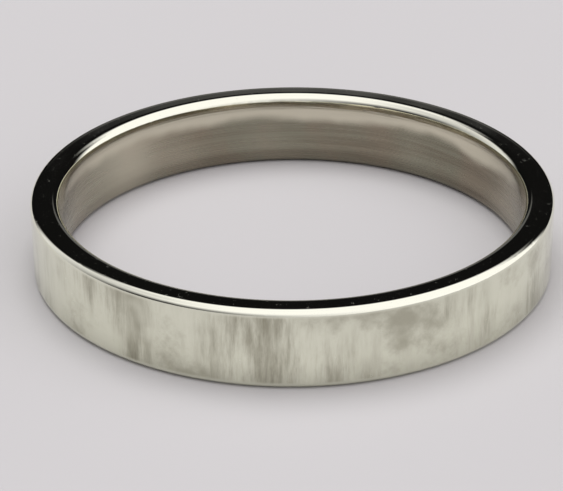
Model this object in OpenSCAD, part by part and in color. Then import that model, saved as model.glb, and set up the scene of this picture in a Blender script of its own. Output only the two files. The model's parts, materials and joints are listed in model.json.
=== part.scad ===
// Flat wedding band with a comfort-fit bore, turned from one piece of white gold.
// Millimetres. +Z runs along the finger, and the origin is the centre of the bore,
// half way between the band's two side faces.

/* [Finger] */
// Diameter of the straight land in the middle of the bore: the ring size
finger_d = 17.3; // [14:0.1:22]

/* [Band] */
// Width of the band along the finger
band_w = 3; // [2:0.5:8]
// Wall thickness from the land to the outer face
wall_t = 1.15; // [1:0.05:2]

/* [Edges] */
// Radius of the two outer edges
outer_edge_r = 0.25; // [0.1:0.05:0.3]
// Radius of the two inner edges, where the comfort fit runs into the side faces
inner_edge_r = 0.3; // [0.15:0.05:0.3]

/* [Comfort fit] */
// Width of the straight land in the middle of the bore
land_w = 1; // [0.6:0.1:1.2]
// How far back from the land the flat side faces begin
comfort_depth = 0.37; // [0.35:0.01:0.5]

/* [Hidden] */
$fn = 180;

finger_r = finger_d / 2;
outer_r = finger_r + wall_t;
half_w = band_w / 2;
half_land = land_w / 2;

// The flat side faces lie between these two radii.
inner_arc_r = finger_r + comfort_depth;
outer_arc_r = outer_r - outer_edge_r;

// Height of the centres of the edge arcs above the middle plane.
outer_arc_z = half_w - outer_edge_r;
inner_arc_z = half_w - inner_edge_r;

// The shoulder arc runs from the land to the inner edge arc, tangent to both.
shoulder_rise = inner_arc_z - half_land;
shoulder_r = (shoulder_rise ^ 2 + comfort_depth ^ 2 - inner_edge_r ^ 2)
    / (2 * (comfort_depth - inner_edge_r));
shoulder_centre_r = finger_r + shoulder_r;

// A point on the line through both arcs' centres, just past where they touch.
past_touch = (shoulder_r + inner_edge_r) / (shoulder_r - inner_edge_r);
past_touch_r = shoulder_centre_r - (shoulder_r - comfort_depth) * past_touch;
past_touch_z = half_land + shoulder_rise * past_touch;

// The outer edge: a quarter disc.
module outer_edge() {
    translate([outer_arc_r, outer_arc_z])
        intersection() {
            circle(outer_edge_r);
            square(outer_edge_r);
        }
}

// The inner edge: the sector of the edge arc between the shoulder and the side face.
module inner_edge() {
    intersection() {
        translate([inner_arc_r, inner_arc_z]) circle(inner_edge_r);
        polygon([
            [inner_arc_r, inner_arc_z],
            [past_touch_r, past_touch_z],
            [past_touch_r, half_w + inner_edge_r],
            [inner_arc_r, half_w + inner_edge_r]
        ]);
    }
}

// The part of the wall that the shoulder arc bounds, from the land to the inner edge.
module shoulder() {
    intersection() {
        translate([shoulder_centre_r, half_land]) circle(shoulder_r);
        polygon([
            [inner_arc_r, half_land],
            [finger_r - inner_edge_r, half_land],
            [past_touch_r, past_touch_z],
            [inner_arc_r, inner_arc_z]
        ]);
    }
}

// The rounded parts of the section's upper half.
module rounded_parts() {
    outer_edge();
    inner_edge();
    shoulder();
}

// The wall's section, with the radius along X and the height along Y.
module section() {
    translate([finger_r, -half_land]) square([wall_t, land_w]);
    translate([inner_arc_r, -half_w]) square([outer_arc_r - inner_arc_r, band_w]);
    translate([inner_arc_r, -outer_arc_z]) square([outer_r - inner_arc_r, 2 * outer_arc_z]);
    rounded_parts();
    mirror([0, 1]) rounded_parts();
}

module band() {
    color("#d2cfc3") rotate_extrude() section();
}

band();
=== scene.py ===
"""Looks for a plain wedding band: a finely cut ring of polished white gold in place of the CAD part."""

import json
import math
from typing import NamedTuple

import bpy
import numpy as np
from mathutils import Matrix, Vector


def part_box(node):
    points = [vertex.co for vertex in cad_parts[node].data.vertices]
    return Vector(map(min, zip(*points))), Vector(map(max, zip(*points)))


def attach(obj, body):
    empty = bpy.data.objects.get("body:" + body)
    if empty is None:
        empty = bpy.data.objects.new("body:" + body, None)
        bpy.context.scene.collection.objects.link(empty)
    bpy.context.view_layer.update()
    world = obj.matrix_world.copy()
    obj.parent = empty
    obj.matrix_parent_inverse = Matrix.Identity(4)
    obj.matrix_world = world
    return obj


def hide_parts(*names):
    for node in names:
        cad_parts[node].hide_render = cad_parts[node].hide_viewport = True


MM = 0.001


class Pattern(NamedTuple):
    """A noise, and the two of its values between which the pattern rises from 0 to 1.

    The scale is in waves to a metre, and for the scratches' breaks in waves to their length.
    """

    scale: float
    low: float
    high: float
    detail: float = 2.0
    rough: float = 0.5


# The band's section, where the frame doesn't give it.
OUTER_EDGE_R = 0.25 * MM
INNER_EDGE_R = 0.3 * MM
COMFORT_DEPTH = 0.37 * MM

# How finely the section and the ring are cut.
AROUND = 720
LAND_CUTS = 8
SHOULDER_CUTS = 12
EDGE_CUTS = 14
FACE_CUTS = 5
WALL_CUTS = 24

# The UV maps: one that the scratches follow, and one of strips in a square for the export's bake.
FINISH_MAP = "finish"
BAKE_MAP = "OFBake"
STRIPS = 3
STRIP_GAP = 0.35 * MM

# The hand finish: how far the polishing wheel leaves the surface from true.
FINISH_SEED = 11
FINISH_DEPTH = 0.0012 * MM
FINISH_WAVES = 14
WAVES_AROUND = (3, 23)
WAVES_ACROSS = (0, 4)

# The metal: its tint where it is bright, the darker tint of the painted reflections on the outer wall,
# and the bore's tints, which are painted shade and painted reflections.
GOLD_TINT = (0.85, 0.855, 0.712)
# The next tint is painted reflection: the darker streaks and clouds on the outer wall.
GOLD_PAINTED_REFLECTION = (0.37, 0.357, 0.272)
# The bore's tints below are painted shade and painted reflections on the metal.
SHOULDER_PAINTED_SHADE_TINT = (0.65, 0.61, 0.49)
BORE_PAINTED_REFLECTION_BROWN = (0.32, 0.275, 0.21)
BORE_PAINTED_REFLECTION_GREEN = (0.295, 0.285, 0.22)
BORE_PAINTED_REFLECTION_DARK = (0.185, 0.155, 0.115)
POLISHED_ROUGHNESS = 0.04
HAZE_ROUGHNESS = 0.03
SHOULDER_ROUGHNESS = 0.11
SATIN_ROUGHNESS = 0.3

# How far the patterns are turned about the band's axis, in degrees. The painted reflection streaks are
# turned by both, and the painted reflection clouds by neither.
PATTERN_TURN = 244
REFLECTION_STREAK_TURN = 73

# Painted reflections on the outer wall: darker streaks across it, in drifts, and cloudy patches. The
# squeeze draws the streaks out along the band's axis.
REFLECTION_STREAKS = Pattern(1000, 0.38, 0.68, detail=6, rough=0.7)
REFLECTION_STREAK_SQUEEZE = 0.15
REFLECTION_DRIFTS = Pattern(330, 0.37, 0.66, detail=3)
REFLECTION_DRIFT_LEAST = 0.06
REFLECTION_CLOUDS = Pattern(295, 0.47, 0.72, detail=6, rough=0.65)
REFLECTION_CLOUD_MOST = 0.75
HAZE = Pattern(420, 0.4, 0.75, detail=4)

# Distances from a side face between which the rim begins, and those for the part that has dents.
RIM = (0.3 * MM, 0.15 * MM)
CORNER = (0.04 * MM, 0.01 * MM)

# Distances out from the land between which the bore's finish ends, in the upper half and in the
# lower half, and how softly one half turns into the other.
BORE_END_ABOVE = (0.05 * MM, 0.085 * MM)
# The lower half reaches further, on to the edge arc, which carries the bore's painted shade there.
BORE_END_BELOW = (0.25 * MM, 0.36 * MM)
MIDDLE_SOFT = 0.2 * MM

# The bore's satin finish, with painted shade and painted reflections in its colour, fullest towards the
# bottom: the heights between which it ends, how far they wander, and its patterns.
SATIN_SHADE_EDGE = (0.3 * MM, 0.8 * MM)
SATIN_SHADE_WANDER = 1.3 * MM
WANDER_SCALE = 230
THINNING = Pattern(100, 0.3, 0.55)
SATIN_SHADE_LEAST = 0.2
HUES = Pattern(310, 0.4, 0.62, detail=3)
BANDS = Pattern(2600, 0.35, 0.8, detail=5, rough=0.6)
BAND_MOST = 0.8

# Fine lines round the bore. The squeeze lets them change only slowly on the way round.
LINES = Pattern(14000, 0.3, 0.7)
LINE_SQUEEZE = 0.04
LINE_DEPTH = 0.0008 * MM
LINE_ROUGHNESS = 0.12

# Wear outside: fine scratches in three directions, small specks, and dents along the edges.
# A scratch lies where a wave is within the width of its middle value. The wave is drawn out to
# the length and pitch, in millimetres, and turned from the ring's run, in degrees. The breaks
# change their scale with each degree of turn, so that the three directions differ.
HAIRLINE_TURNS = (3, -13, 41)
HAIRLINE_PITCH = 0.35
HAIRLINE_LENGTH = 7
HAIRLINE_WIDTH = 0.012
HAIRLINE_ROUGHNESS = 0.1
HAIRLINE_RIM_SHARE = 0.3
HAIRLINE_DETAIL = 3
HAIRLINE_ROUGH = 0.6
BREAKS = Pattern(1.7, 0.5, 0.62, detail=1)
BREAK_STEP = 0.02
SPECKS = Pattern(5600, 0.64, 0.75)
SPECK_ROUGHNESS = 0.2
DENTS = Pattern(1500, 0.58, 0.72, detail=1)
DENT_DEPTH = 0.002 * MM

# The room, as directions in degrees. Azimuth runs from the camera's side, positive to the right.
# Where the camera looks past the floor, it sees a plain backdrop instead. A dim side has its
# full depth at the middle azimuth, and ends between its two elevations.
SKY_LIGHT = 1.18
SKY_TINT = (1.0, 0.975, 1.03)
BACKDROP_LIGHT = 0.62
CARD_LEFT = -133
CARD_RIGHT = 125
CARD_TOP = 44
CARD_SLANT = 10
CARD_SOFT = 8
CARD_DEPTH = 0.995
GAP_AZIMUTHS = (170, 175)
GAP_ELEVATIONS = (21.9, 24.2)
GAP_LIGHT = 0.1
NEAR_DIM = {"azimuths": (-125, -62, 50), "elevations": (8, 50), "depth": 0.97}
LEFT_DIM = {"azimuths": (-175, -105, -30), "elevations": (55, 78), "depth": 0.36}

# The light that throws the soft shadow, in metres and watts: behind the band and above it.
# It isn't mirrored in the metal.
KEY_AZIMUTH = -150
KEY_ELEVATION = 76
KEY_DISTANCE = 0.5
KEY_SIZE = 0.42
KEY_POWER = 1.5

# The floor, in metres.
FLOOR_HALF_SIZE = 1.2
FLOOR_COLOUR = (0.478, 0.468, 0.461)
FLOOR_ROUGHNESS = 0.9
FLOOR_SPECULAR = 0.1

# The camera: where it stands, the small turns that frame the ring off centre, and how far off
# things may be, nearest and furthest, as shares of its own distance.
CAMERA_DISTANCE = 81.6 * MM
CAMERA_ELEVATION = 26.4
CAMERA_PAN = 0.289
CAMERA_TILT = -0.611
CAMERA_ROLL = -0.267
CAMERA_LENS = 137.9
CAMERA_CLIP = (0.05, 100)


def arc(centre, radius, start, end, cuts):
    """Points on an arc in the section's plane, from the start angle to the end angle, in degrees."""
    steps = np.radians(np.linspace(start, end, cuts + 1))
    return [(centre[0] + radius * math.cos(a), centre[1] + radius * math.sin(a)) for a in steps]


def line(start, end, cuts):
    """Points on a straight run, without its two ends."""
    return [
        tuple(np.array(start) + (np.array(end) - np.array(start)) * i / cuts)
        for i in range(1, cuts)
    ]


def half_section(bore_r, half_land, outer_r, half_w):
    """The upper half of the section, from the middle of the land to the middle of the outer wall."""
    rise = half_w - INNER_EDGE_R - half_land
    shoulder_r = (rise**2 + COMFORT_DEPTH**2 - INNER_EDGE_R**2) / (2 * (COMFORT_DEPTH - INNER_EDGE_R))
    turn = math.degrees(math.asin(rise / (shoulder_r - INNER_EDGE_R)))
    inner_centre = (bore_r + COMFORT_DEPTH, half_w - INNER_EDGE_R)
    outer_centre = (outer_r - OUTER_EDGE_R, half_w - OUTER_EDGE_R)
    land_end = (bore_r, half_land)
    points = [(bore_r, 0)] + line((bore_r, 0), land_end, LAND_CUTS // 2)
    points += arc((bore_r + shoulder_r, half_land), shoulder_r, 180, 180 - turn, SHOULDER_CUTS)
    points += arc(inner_centre, INNER_EDGE_R, 180 - turn, 90, EDGE_CUTS)[1:]
    points += line(points[-1], (outer_centre[0], half_w), FACE_CUTS)
    points += arc(outer_centre, OUTER_EDGE_R, 90, 0, EDGE_CUTS)
    points += line(points[-1], (outer_r, 0), WALL_CUTS // 2)
    return points + [(outer_r, 0)]


def section(bore_r, half_land, outer_r, half_w):
    """The whole section as a closed loop, starting at the middle of the land."""
    upper = half_section(bore_r, half_land, outer_r, half_w)
    lower = [(r, -z) for r, z in reversed(upper[1:-1])]
    return np.array(upper + lower)


def finish_error(angles, loop_share):
    """The polished surface's distance from true, in metres, as long soft waves round the ring."""
    rng = np.random.default_rng(FINISH_SEED)
    error = np.zeros((len(angles), len(loop_share)))
    for _ in range(FINISH_WAVES):
        around, across = rng.integers(*WAVES_AROUND), rng.integers(*WAVES_ACROSS)
        phase, size = rng.uniform(0, 2 * math.pi), rng.normal()
        turn = around * angles[:, None] + across * 2 * math.pi * loop_share[None]
        error += size * np.cos(turn + phase)
    return error * FINISH_DEPTH / math.sqrt(FINISH_WAVES)


def outward(loop):
    """The section's outward normals, from the chords on both sides of each point."""
    chord = np.roll(loop, -1, 0) - np.roll(loop, 1, 0)
    normal = np.stack([-chord[:, 1], chord[:, 0]], 1)
    return normal / np.linalg.norm(normal, axis=1)[:, None]


def band_mesh(loop):
    """The ring: the section turned about Z, with the hand finish laid on its true surface."""
    angles = math.pi * (np.arange(AROUND) * 2 / AROUND - 1)
    steps = np.linalg.norm(np.roll(loop, -1, 0) - loop, axis=1)
    along = np.concatenate([[0], np.cumsum(steps)])
    moved = loop[None] + finish_error(angles, along[:-1] / along[-1])[:, :, None] * outward(loop)[None]
    radius, height = moved[:, :, 0], moved[:, :, 1]
    places = np.stack(
        [radius * np.sin(angles)[:, None], -radius * np.cos(angles)[:, None], height], 2
    ).reshape(-1, 3)
    count = len(loop)
    here, there = np.meshgrid(np.arange(AROUND), np.arange(count), indexing="ij")
    corners = [(here, there), (here, there + 1), (here + 1, there + 1), (here + 1, there)]
    faces = np.stack([a % AROUND * count + b % count for a, b in corners], 2).reshape(-1, 4)
    mesh = bpy.data.meshes.new("polished_band")
    mesh.from_pydata(places.tolist(), [], faces.tolist())
    mesh.shade_smooth()
    lay_out(mesh, corners, along, 2 * math.pi * loop[:, 0].max() / AROUND)
    return mesh


def lay_out(mesh, corners, along, step):
    """A map in millimetres round the ring and along its section, and a map of strips in a square."""
    column = np.stack([a for a, _ in corners], 2)
    across = np.stack([along[b] for _, b in corners], 2)
    add_map(mesh, FINISH_MAP, column * step / MM, across / MM)
    strip = column[:, :, :1] // (AROUND // STRIPS)
    pitch = along[-1] + STRIP_GAP
    side = STRIPS * pitch + STRIP_GAP
    run = STRIP_GAP + (column - strip * (AROUND // STRIPS)) * step
    rise = (strip + 1) * pitch - across
    add_map(mesh, BAKE_MAP, run / side, rise / side)


def add_map(mesh, name, u, v):
    """Adds a UV map, given the place of every face's corners."""
    chart = mesh.uv_layers.new(name=name)
    chart.data.foreach_set("uv", np.stack([u, v], 3).ravel())


class Nodes:
    """Short ways to add shader nodes to one tree."""

    def __init__(self, tree):
        self.tree = tree

    def add(self, kind, **settings):
        node = self.tree.nodes.new(kind)
        for name, value in settings.items():
            setattr(node, name, value)
        return node

    def link(self, value, socket):
        """Gives a socket a number, or links an output to it."""
        if isinstance(value, (int, float)):
            socket.default_value = value
        else:
            self.tree.links.new(value, socket)

    def maths(self, operation, *values):
        node = self.add("ShaderNodeMath", operation=operation)
        for value, socket in zip(values, node.inputs, strict=False):
            self.link(value, socket)
        return node.outputs[0]

    def ease(self, value, low, high, at_low=0.0, at_high=1.0):
        """Runs smoothly from at_low to at_high as value goes from low to high."""
        node = self.add("ShaderNodeMapRange", interpolation_type="SMOOTHSTEP")
        ends = {"From Min": low, "From Max": high, "To Min": at_low, "To Max": at_high}
        for name, number in ends.items():
            node.inputs[name].default_value = number
        self.link(value, node.inputs["Value"])
        return node.outputs["Result"]

    def split(self, vector):
        node = self.add("ShaderNodeSeparateXYZ")
        self.tree.links.new(vector, node.inputs[0])
        return node.outputs

    def turn(self, vector, degrees):
        """Turns a vector about Z."""
        node = self.add("ShaderNodeVectorRotate", rotation_type="Z_AXIS")
        node.inputs["Angle"].default_value = math.radians(degrees)
        self.tree.links.new(vector, node.inputs["Vector"])
        return node.outputs[0]

    def join(self, *values):
        node = self.add("ShaderNodeCombineXYZ")
        for value, socket in zip(values, node.inputs, strict=True):
            self.link(value, socket)
        return node.outputs[0]

    def noise(self, vector, scale, detail=2.0, rough=0.5):
        node = self.add("ShaderNodeTexNoise")
        node.inputs["Scale"].default_value = scale
        node.inputs["Detail"].default_value = detail
        node.inputs["Roughness"].default_value = rough
        self.tree.links.new(vector, node.inputs["Vector"])
        return node.outputs["Fac"]

    def pattern(self, vector, pattern, at_low=0.0, at_high=1.0):
        """Runs from at_low to at_high as the pattern's noise rises."""
        wave = self.noise(vector, pattern.scale, pattern.detail, pattern.rough)
        return self.ease(wave, pattern.low, pattern.high, at_low, at_high)

    def blend(self, factor, first, second):
        """Runs from one number to another as the factor goes from 0 to 1."""
        node = self.add("ShaderNodeMix")
        for value, socket in zip((factor, first, second), (0, 2, 3), strict=True):
            self.link(value, node.inputs[socket])
        return node.outputs[0]

    def mix(self, factor, first, second):
        """Runs from one colour to another as the factor goes from 0 to 1."""
        node = self.add("ShaderNodeMix", data_type="RGBA")
        self.link(factor, node.inputs["Factor"])
        for name, value in (("A", first), ("B", second)):
            socket = next(s for s in node.inputs if s.name == name and s.type == "RGBA")
            if isinstance(value, tuple):
                socket.default_value = (*value, 1)
            else:
                self.tree.links.new(value, socket)
        return next(s for s in node.outputs if s.type == "RGBA")


def hairlines(nodes):
    """Long thin scratches, 1 on a scratch and 0 off it, broken up so that none runs right round."""
    chart = nodes.add("ShaderNodeUVMap", uv_map=FINISH_MAP).outputs[0]
    worn = 0.0
    for turn in HAIRLINE_TURNS:
        node = nodes.add("ShaderNodeMapping", vector_type="TEXTURE")
        node.inputs["Rotation"].default_value = (0, 0, math.radians(turn))
        node.inputs["Scale"].default_value = (HAIRLINE_LENGTH, HAIRLINE_PITCH, 1)
        nodes.link(chart, node.inputs["Vector"])
        wave = nodes.noise(node.outputs[0], 1, HAIRLINE_DETAIL, HAIRLINE_ROUGH)
        away = nodes.maths("ABSOLUTE", nodes.maths("SUBTRACT", wave, 0.5))
        scratch = nodes.ease(away, 0.0, HAIRLINE_WIDTH, 1.0, 0.0)
        breaks = BREAKS._replace(scale=BREAKS.scale + turn * BREAK_STEP)
        kept = nodes.pattern(node.outputs[0], breaks)
        worn = nodes.maths("MAXIMUM", nodes.maths("MULTIPLY", scratch, kept), worn)
    return worn


def bore_mask(nodes, radius, z, bore_r):
    """1 in the bore and 0 outside it: to the shoulder's end above, and on to the edge arc below, where
    its darker tint is painted shade.
    """
    below = nodes.ease(z, -MIDDLE_SOFT, MIDDLE_SOFT, 1.0, 0.0)
    upper = nodes.ease(radius, *(bore_r + end for end in BORE_END_ABOVE), 1.0, 0.0)
    lower = nodes.ease(radius, *(bore_r + end for end in BORE_END_BELOW), 1.0, 0.0)
    return nodes.maths("MAXIMUM", upper, nodes.maths("MULTIPLY", below, lower))


def satin_and_shade_cover(nodes, place, z):
    """How strongly the bore's satin finish and its painted shade lie: full below a wandering edge, so
    darker towards the bottom, and thinner in places.
    """
    wave = nodes.noise(place, WANDER_SCALE, detail=3)
    level = nodes.maths("ADD", z, nodes.maths("MULTIPLY_ADD", wave, SATIN_SHADE_WANDER, -SATIN_SHADE_WANDER / 2))
    thinning = nodes.pattern(place, THINNING, SATIN_SHADE_LEAST, 1.0)
    return nodes.maths("MULTIPLY", nodes.ease(level, *SATIN_SHADE_EDGE, 1.0, 0.0), thinning)


def outside_tint_with_painted_reflections(nodes, spot, place, rim):
    """Bright metal, with painted reflections as warmer, darker streaks and clouds. The rims stay
    bright.
    """
    x, y, z = nodes.split(place)
    across = nodes.turn(nodes.join(x, y, nodes.maths("MULTIPLY", z, REFLECTION_STREAK_SQUEEZE)), REFLECTION_STREAK_TURN)
    reflection_drifts = nodes.pattern(place, REFLECTION_DRIFTS, REFLECTION_DRIFT_LEAST, 1.0)
    reflection_streaks = nodes.maths("MULTIPLY", nodes.pattern(across, REFLECTION_STREAKS), reflection_drifts)
    # Painted reflections: darker streaks and clouds that stand in for what the mirror shows.
    painted_reflection = nodes.maths("MAXIMUM", reflection_streaks, nodes.pattern(spot, REFLECTION_CLOUDS, 0.0, REFLECTION_CLOUD_MOST))
    painted_reflection_share = nodes.maths("MULTIPLY", painted_reflection, nodes.maths("SUBTRACT", 1.0, rim))
    return nodes.mix(painted_reflection_share, GOLD_TINT, GOLD_PAINTED_REFLECTION)


def bore_tint(nodes, place, around, satin_and_painted_shade):
    """Metal darker than outside, as painted shade, under painted reflections between brown and green,
    with darker bands of painted reflection and shade that run round the bore.
    """
    # Painted reflections and painted shade: the bore's darker colours.
    hue = nodes.mix(nodes.pattern(place, HUES), BORE_PAINTED_REFLECTION_BROWN, BORE_PAINTED_REFLECTION_GREEN)
    banded = nodes.mix(nodes.pattern(around, BANDS, 0.0, BAND_MOST), hue, BORE_PAINTED_REFLECTION_DARK)
    return nodes.mix(satin_and_painted_shade, SHOULDER_PAINTED_SHADE_TINT, banded)


def outside_roughness(nodes, place, rim):
    """A mirror, a little hazy in places, with rougher specks and scratches."""
    haze = nodes.pattern(place, HAZE, POLISHED_ROUGHNESS, POLISHED_ROUGHNESS + HAZE_ROUGHNESS)
    marked = nodes.maths("MULTIPLY_ADD", nodes.pattern(place, SPECKS), SPECK_ROUGHNESS, haze)
    rim_roughness = HAIRLINE_RIM_SHARE * HAIRLINE_ROUGHNESS
    scratched = nodes.ease(rim, 0.0, 1.0, HAIRLINE_ROUGHNESS, rim_roughness)
    return nodes.maths("MULTIPLY_ADD", hairlines(nodes), scratched, marked)


def bore_roughness(nodes, satin_and_painted_shade, lines):
    """Satin, rougher where the satin finish lies fullest, and uneven from line to line."""
    ridged = nodes.maths("MULTIPLY_ADD", lines, LINE_ROUGHNESS, -LINE_ROUGHNESS / 2)
    return nodes.maths("ADD", ridged, nodes.blend(satin_and_painted_shade, SHOULDER_ROUGHNESS, SATIN_ROUGHNESS))


def edge_dents(nodes, place, rim, height, half_w):
    """Shallow dents on the rounded edges, as heights in metres. The flat side faces have none."""
    round_part = nodes.ease(height, *(half_w - depth for depth in CORNER), 1.0, 0.0)
    corner = nodes.maths("MULTIPLY", rim, round_part)
    return nodes.maths("MULTIPLY", corner, nodes.pattern(place, DENTS, 0.0, -DENT_DEPTH))


def white_gold(bore_r, half_w):
    """White gold: a mirror outside with painted reflections streaked across it, and a satin bore with
    lines round it, darkened by painted shade and painted reflections.
    """
    material = bpy.data.materials.new("white_gold")
    material.use_nodes = True
    nodes = Nodes(material.node_tree)
    shader = material.node_tree.nodes["Principled BSDF"]
    shader.inputs["Metallic"].default_value = 1.0
    spot = nodes.add("ShaderNodeTexCoord").outputs["Object"]
    place = nodes.turn(spot, PATTERN_TURN)

    x, y, z = nodes.split(place)
    square = nodes.maths("ADD", nodes.maths("MULTIPLY", x, x), nodes.maths("MULTIPLY", y, y))
    radius = nodes.maths("SQRT", square)
    height = nodes.maths("ABSOLUTE", z)
    rim = nodes.ease(height, *(half_w - depth for depth in RIM))
    inside = bore_mask(nodes, radius, z, bore_r)
    satin_and_painted_shade = satin_and_shade_cover(nodes, place, z)
    around = nodes.join(radius, z, nodes.maths("MULTIPLY", x, LINE_SQUEEZE))
    lines = nodes.pattern(around, LINES)

    outer_tint = outside_tint_with_painted_reflections(nodes, spot, place, rim)
    tint = nodes.mix(inside, outer_tint, bore_tint(nodes, place, around, satin_and_painted_shade))
    nodes.link(tint, shader.inputs["Base Color"])
    polished = outside_roughness(nodes, place, rim)
    roughness = nodes.blend(inside, polished, bore_roughness(nodes, satin_and_painted_shade, lines))
    nodes.link(roughness, shader.inputs["Roughness"])
    dents = edge_dents(nodes, place, rim, height, half_w)
    relief = nodes.blend(inside, dents, nodes.maths("MULTIPLY", lines, LINE_DEPTH))
    bump = nodes.add("ShaderNodeBump")
    bump.inputs["Distance"].default_value = 1.0
    nodes.link(relief, bump.inputs["Height"])
    nodes.link(bump.outputs[0], shader.inputs["Normal"])
    return material


def make_band(frame):
    """The polished ring, sized from the frame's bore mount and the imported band."""
    land = next(m for m in frame["record"]["mounts"] if m["name"] == "finger_bore")["dims"]
    bore_r, half_land = land["r_mm"] * MM, land["length_mm"] * MM / 2
    outer_r = max(math.hypot(v.co.x, v.co.y) for v in frame["nodes"]["band"].data.vertices)
    half_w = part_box("band")[1].z
    loop = section(bore_r, half_land, outer_r, half_w)
    ring = bpy.data.objects.new("polished_band", band_mesh(loop))
    bpy.context.scene.collection.objects.link(ring)
    ring.data.materials.append(white_gold(bore_r, half_w))
    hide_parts("band")
    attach(ring, "root")


def make_floor():
    """A plain pale floor that the band lies on."""
    mesh = bpy.data.meshes.new("floor")
    s, z = FLOOR_HALF_SIZE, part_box("band")[0].z
    mesh.from_pydata([(-s, -s, z), (s, -s, z), (s, s, z), (-s, s, z)], [], [(0, 1, 2, 3)])
    floor = bpy.data.objects.new("floor", mesh)
    bpy.context.scene.collection.objects.link(floor)
    material = bpy.data.materials.new("pale_floor")
    material.use_nodes = True
    shader = material.node_tree.nodes["Principled BSDF"]
    shader.inputs["Base Color"].default_value = (*FLOOR_COLOUR, 1)
    shader.inputs["Roughness"].default_value = FLOOR_ROUGHNESS
    shader.inputs["Specular IOR Level"].default_value = FLOOR_SPECULAR
    mesh.materials.append(material)


def dimming(nodes, azimuth, elevation, azimuths, elevations, depth):
    """How much light is left where one side of the room is dim, darkest at the middle azimuth."""
    left, middle, right = azimuths
    coming = nodes.ease(azimuth, left, middle, 0.0, depth)
    going = nodes.ease(azimuth, middle, right, depth, 0.0)
    turn = nodes.maths("MINIMUM", coming, going)
    low = nodes.ease(elevation, *elevations, 1.0, 0.0)
    return nodes.maths("SUBTRACT", 1.0, nodes.maths("MULTIPLY", turn, low))


def dark_card(nodes, x, azimuth, elevation):
    """How much of the light a dark card behind the band takes. It lets a little through low down."""
    height = nodes.maths("MULTIPLY_ADD", x, CARD_SLANT, elevation)
    left = nodes.ease(azimuth, CARD_LEFT - CARD_SOFT, CARD_LEFT + CARD_SOFT, 1.0, 0.0)
    right = nodes.ease(azimuth, CARD_RIGHT - CARD_SOFT, CARD_RIGHT + CARD_SOFT)
    under = nodes.ease(height, CARD_TOP - CARD_SOFT, CARD_TOP + CARD_SOFT, 1.0, 0.0)
    card = nodes.maths("MULTIPLY", nodes.maths("MAXIMUM", left, right), under)
    middle = nodes.ease(nodes.maths("ABSOLUTE", azimuth), *GAP_AZIMUTHS)
    gap = nodes.maths("MULTIPLY", middle, nodes.ease(elevation, *GAP_ELEVATIONS, GAP_LIGHT, 0.0))
    return nodes.maths("MULTIPLY", card, nodes.maths("SUBTRACT", CARD_DEPTH, gap))


def make_room():
    """A pale room with a dim near side, dimmer on the left, and a dark card behind the band."""
    world = bpy.data.worlds.new("room")
    bpy.context.scene.world = world
    world.use_nodes = True
    nodes = Nodes(world.node_tree)
    x, y, z = nodes.split(nodes.add("ShaderNodeTexCoord").outputs["Generated"])
    azimuth = nodes.maths("DEGREES", nodes.maths("ARCTAN2", x, nodes.maths("MULTIPLY", y, -1.0)))
    elevation = nodes.maths("DEGREES", nodes.maths("ARCSINE", z))
    light = nodes.maths("SUBTRACT", 1.0, dark_card(nodes, x, azimuth, elevation))
    for patch in (NEAR_DIM, LEFT_DIM):
        light = nodes.maths("MULTIPLY", light, dimming(nodes, azimuth, elevation, **patch))
    seen = nodes.add("ShaderNodeLightPath").outputs["Is Camera Ray"]
    strength = nodes.blend(seen, nodes.maths("MULTIPLY", light, SKY_LIGHT), BACKDROP_LIGHT)
    background = world.node_tree.nodes["Background"]
    background.inputs["Color"].default_value = (*SKY_TINT, 1)
    nodes.link(strength, background.inputs["Strength"])


def make_key():
    """A soft light above and behind the band, for its shadow on the floor."""
    data = bpy.data.lights.new("key", "AREA")
    data.shape = "DISK"
    data.size = KEY_SIZE
    data.energy = KEY_POWER
    key = bpy.data.objects.new("key", data)
    turn, lift = math.radians(KEY_AZIMUTH), math.radians(KEY_ELEVATION)
    away = Vector((math.sin(turn) * math.cos(lift), -math.cos(turn) * math.cos(lift), math.sin(lift)))
    key.location = away * KEY_DISTANCE
    key.rotation_euler = away.to_track_quat("Z", "Y").to_euler()
    key.visible_glossy = False
    key.visible_camera = False
    bpy.context.scene.collection.objects.link(key)


def make_camera():
    """A long lens at the height of a hand-held close-up, aimed so that the ring sits a little high."""
    data = bpy.data.cameras.new("camera")
    data.lens = CAMERA_LENS
    data.clip_start, data.clip_end = (share * CAMERA_DISTANCE for share in CAMERA_CLIP)
    camera = bpy.data.objects.new("camera", data)
    elevation = math.radians(CAMERA_ELEVATION)
    away = Vector((0, -math.cos(elevation), math.sin(elevation))) * CAMERA_DISTANCE
    turns = (
        (90 - CAMERA_ELEVATION, "X"),
        (CAMERA_PAN, "Y"),
        (CAMERA_TILT, "X"),
        (CAMERA_ROLL, "Z"),
    )
    matrix = Matrix.Translation(away)
    for degrees, axis in turns:
        matrix = matrix @ Matrix.Rotation(math.radians(degrees), 4, axis)
    camera.matrix_world = matrix
    bpy.context.scene.collection.objects.link(camera)
    bpy.context.scene.camera = camera


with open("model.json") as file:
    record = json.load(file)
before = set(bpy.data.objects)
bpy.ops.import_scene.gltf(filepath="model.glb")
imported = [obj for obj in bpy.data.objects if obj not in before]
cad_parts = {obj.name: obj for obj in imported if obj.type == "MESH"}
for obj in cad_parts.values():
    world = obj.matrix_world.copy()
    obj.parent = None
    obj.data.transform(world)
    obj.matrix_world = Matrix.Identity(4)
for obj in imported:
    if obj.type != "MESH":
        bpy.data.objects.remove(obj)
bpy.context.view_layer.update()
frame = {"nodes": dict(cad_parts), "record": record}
make_camera()
make_band(frame)
make_floor()
make_room()
make_key()
bpy.context.scene.view_settings.view_transform = "Standard"

bpy.context.view_layer.update()
